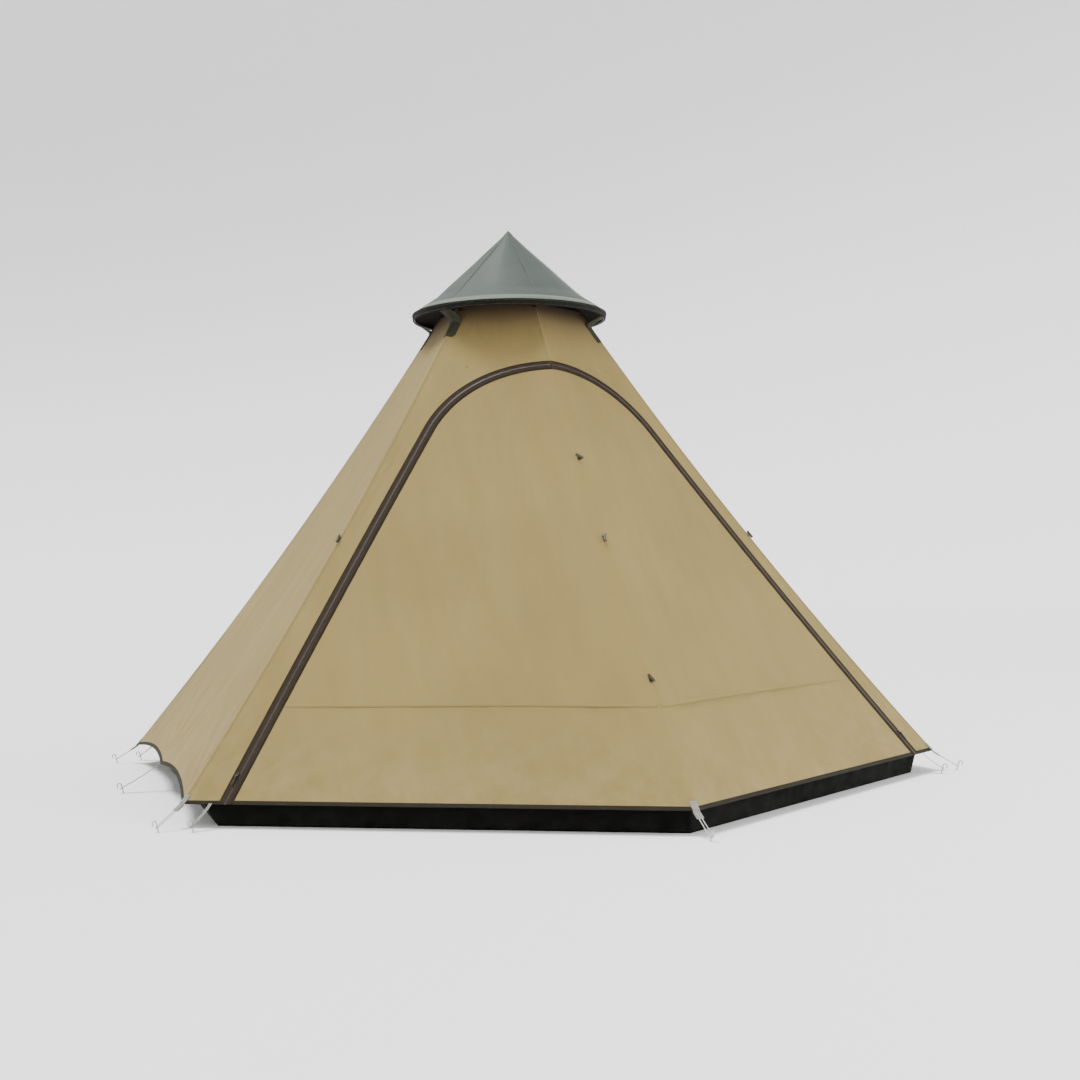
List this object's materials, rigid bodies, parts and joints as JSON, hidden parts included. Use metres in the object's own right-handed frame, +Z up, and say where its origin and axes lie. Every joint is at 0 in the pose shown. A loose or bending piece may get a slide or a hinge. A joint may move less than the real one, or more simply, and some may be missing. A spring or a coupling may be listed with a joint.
{
  "type": "teepee tent",
  "caption": "Six-sided one-pole teepee tent with arched zip doors front and back, a dark floor tub, a conical vent cap and pegged corner loops.",
  "frame": {"origin": "middle of the floor's underside, on the ground", "axes": "+Z up along the pole, -Y through the front door's ridge, +X to the right seen from the front"},
  "size_m": [3.4792, 3.9054, 2.5866],
  "materials": {
    "fly_fabric": "coated polyester taffeta, khaki, faint sheen",
    "cap_fabric": "coated polyester taffeta, grey green, faint sheen",
    "cap_band_fabric": "folded polyester hem, near black",
    "zip_tape": "woven polyester zip tape with nylon coil, dark brown",
    "dark_webbing": "woven polyester binding, dark brown",
    "grey_webbing": "woven polypropylene webbing, grey",
    "guy_cord": "braided polyester cord, light grey",
    "tub_fabric": "woven polyethylene sheet, near black",
    "vent_mesh": "fine polyester insect mesh, black",
    "pole_steel": "powder-coated steel tube, grey",
    "hoop_rod": "glass-fibre rod, pale grey, satin",
    "moulded_plastic": "moulded plastic, black, satin",
    "toggle_plastic": "moulded plastic, dark brown, satin",
    "rubber_foot": "moulded rubber, black",
    "slider_metal": "die-cast zinc, black enamel",
    "peg_steel": "galvanised steel wire"
  },
  "bodies": {
    "root": {"back_zip_tape": "zip_tape", "corner_tabs": "grey_webbing", "crown_hub": "moulded_plastic", "crown_straps": "dark_webbing", "floor_patch": "tub_fabric", "fly_back_left": "fly_fabric", "fly_back_right": "fly_fabric", "fly_front_left": "fly_fabric", "fly_front_right": "fly_fabric", "fly_hem_binding": "dark_webbing", "fly_side_left": "fly_fabric", "fly_side_right": "fly_fabric", "fly_top_band": "dark_webbing", "front_zip_tape": "zip_tape", "guy_loop_left_back": "guy_cord", "guy_loop_left_front": "guy_cord", "guy_loop_right_back": "guy_cord", "guy_loop_right_front": "guy_cord", "pole_foot": "rubber_foot", "pole_section_1": "pole_steel", "pole_section_2": "pole_steel", "pole_section_3": "pole_steel", "pole_section_4": "pole_steel", "pole_tip": "moulded_plastic", "ridge_toggles": "toggle_plastic", "side_hem_straps": "grey_webbing", "tent_pegs": "peg_steel", "tub_floor": "tub_fabric", "tub_seam_tape": "tub_fabric", "tub_wall": "tub_fabric", "vent_mesh": "vent_mesh", "zip_foot_straps": "grey_webbing"},
    "front_door": {"front_door_guy_loop": "guy_cord", "front_door_hem_binding": "dark_webbing", "front_door_left": "fly_fabric", "front_door_right": "fly_fabric", "front_door_tab": "grey_webbing", "front_door_toggles": "toggle_plastic", "front_door_zip_tape": "zip_tape"},
    "back_door": {"back_door_guy_loop": "guy_cord", "back_door_hem_binding": "dark_webbing", "back_door_left": "fly_fabric", "back_door_right": "fly_fabric", "back_door_tab": "grey_webbing", "back_door_toggles": "toggle_plastic", "back_door_zip_tape": "zip_tape"},
    "cap": {"cap_hem_band": "cap_band_fabric", "cap_hoop": "hoop_rod", "cap_shell": "cap_fabric", "cap_tabs": "dark_webbing", "cap_tip_cup": "moulded_plastic"},
    "back_slider_left": {"back_slider_left": "slider_metal"},
    "back_slider_pull_left": {"back_slider_pull_left": "slider_metal"},
    "back_slider_pull_right": {"back_slider_pull_right": "slider_metal"},
    "back_slider_right": {"back_slider_right": "slider_metal"},
    "front_slider_left": {"front_slider_left": "slider_metal"},
    "front_slider_pull_left": {"front_slider_pull_left": "slider_metal"},
    "front_slider_pull_right": {"front_slider_pull_right": "slider_metal"},
    "front_slider_right": {"front_slider_right": "slider_metal"}
  },
  "joints": [
    {"name": "front_door_lift", "type": "hinge", "parent": "root", "child": "front_door", "pos_m": [0, -0.54, 1.79], "axis": [-1, 0, 0], "range_deg": [0, 85]},
    {"name": "back_door_lift", "type": "hinge", "parent": "root", "child": "back_door", "pos_m": [0, 0.54, 1.79], "axis": [1, 0, 0], "range_deg": [0, 85]},
    {"name": "cap_lift", "type": "slide", "parent": "root", "child": "cap", "axis": [0, 0, 1], "range_m": [0, 0.25]},
    {"name": "front_slider_right_zip", "type": "slide", "parent": "root", "child": "front_slider_right", "axis": [-0.5258, 0.324, 0.7865], "range_m": [0, 1.469]},
    {"name": "front_slider_pull_right_swing", "type": "hinge", "parent": "front_slider_right", "child": "front_slider_pull_right", "pos_m": [1.39523, -0.95495, 0.17696], "axis": [-0.7402, -0.6298, -0.2354], "range_deg": [0, 110]},
    {"name": "front_slider_left_zip", "type": "slide", "parent": "root", "child": "front_slider_left", "axis": [0.5258, 0.324, 0.7865], "range_m": [0, 1.469]},
    {"name": "front_slider_pull_left_swing", "type": "hinge", "parent": "front_slider_left", "child": "front_slider_pull_left", "pos_m": [-1.39523, -0.95495, 0.17696], "axis": [-0.7402, 0.6298, 0.2354], "range_deg": [0, 110]},
    {"name": "back_slider_right_zip", "type": "slide", "parent": "root", "child": "back_slider_right", "axis": [-0.5258, -0.324, 0.7865], "range_m": [0, 1.469]},
    {"name": "back_slider_pull_right_swing", "type": "hinge", "parent": "back_slider_right", "child": "back_slider_pull_right", "pos_m": [1.39523, 0.95495, 0.17696], "axis": [0.7402, -0.6298, 0.2354], "range_deg": [0, 110]},
    {"name": "back_slider_left_zip", "type": "slide", "parent": "root", "child": "back_slider_left", "axis": [0.5258, -0.324, 0.7865], "range_m": [0, 1.469]},
    {"name": "back_slider_pull_left_swing", "type": "hinge", "parent": "back_slider_left", "child": "back_slider_pull_left", "pos_m": [-1.39523, 0.95495, 0.17696], "axis": [0.7402, 0.6298, -0.2354], "range_deg": [0, 110]}
  ]
}
